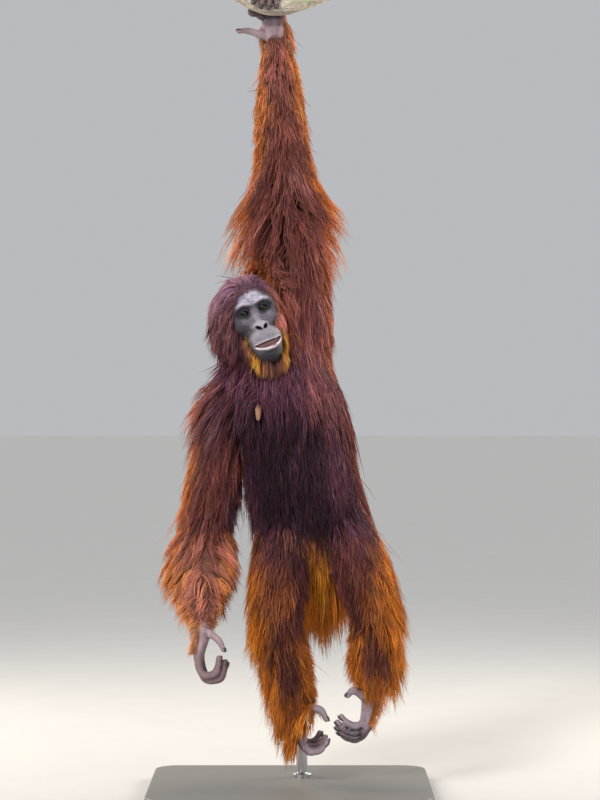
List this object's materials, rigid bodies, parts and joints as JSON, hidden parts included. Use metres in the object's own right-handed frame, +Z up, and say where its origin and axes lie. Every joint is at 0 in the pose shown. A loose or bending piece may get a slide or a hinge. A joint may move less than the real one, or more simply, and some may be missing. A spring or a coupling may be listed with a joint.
{
  "type": "orangutan figure",
  "caption": "Life-size model of an adult orangutan with a long red coat, hanging by one arm from a short cut branch, held by a plain display stand.",
  "frame": {"origin": "middle of the underside of the stand's base, on the floor", "axes": "+Z up, -Y the way the animal faces, +X towards the animal's left side, which is the raised arm's side"},
  "size_m": [0.7, 0.56, 2.0851],
  "materials": {
    "coat": "long, loose red-orange hair, mauve-brown on the front and near black on the chest",
    "face_skin": "bare grey skin with a lilac sheen, darker in the eye sockets and on the chin",
    "hand_skin": "bare, creased mauve-grey skin of palms, soles and digits",
    "eye": "wet, dark brown eye",
    "mouth": "wet, brownish pink tongue and inside of the mouth",
    "bark": "pale, rough bark with sawn ends",
    "stand_base": "plain satin painted slab",
    "stand_steel": "plain brushed rod"
  },
  "bodies": {
    "root": {"torso": "coat", "neck": "coat", "head": "face_skin", "tongue": "mouth", "ear_left": "face_skin", "ear_right": "face_skin", "eye_left": "eye", "eye_right": "eye", "upper_arm_left": "coat", "upper_arm_right": "coat", "forearm_left": "coat", "forearm_right": "coat", "hand_left": "hand_skin", "hand_right": "hand_skin", "thigh_left": "coat", "thigh_right": "coat", "shank_left": "coat", "shank_right": "coat", "foot_left": "hand_skin", "foot_right": "hand_skin", "perch": "bark", "stand_base": "stand_base", "stand_rod": "stand_steel"}
  },
  "joints": []
}
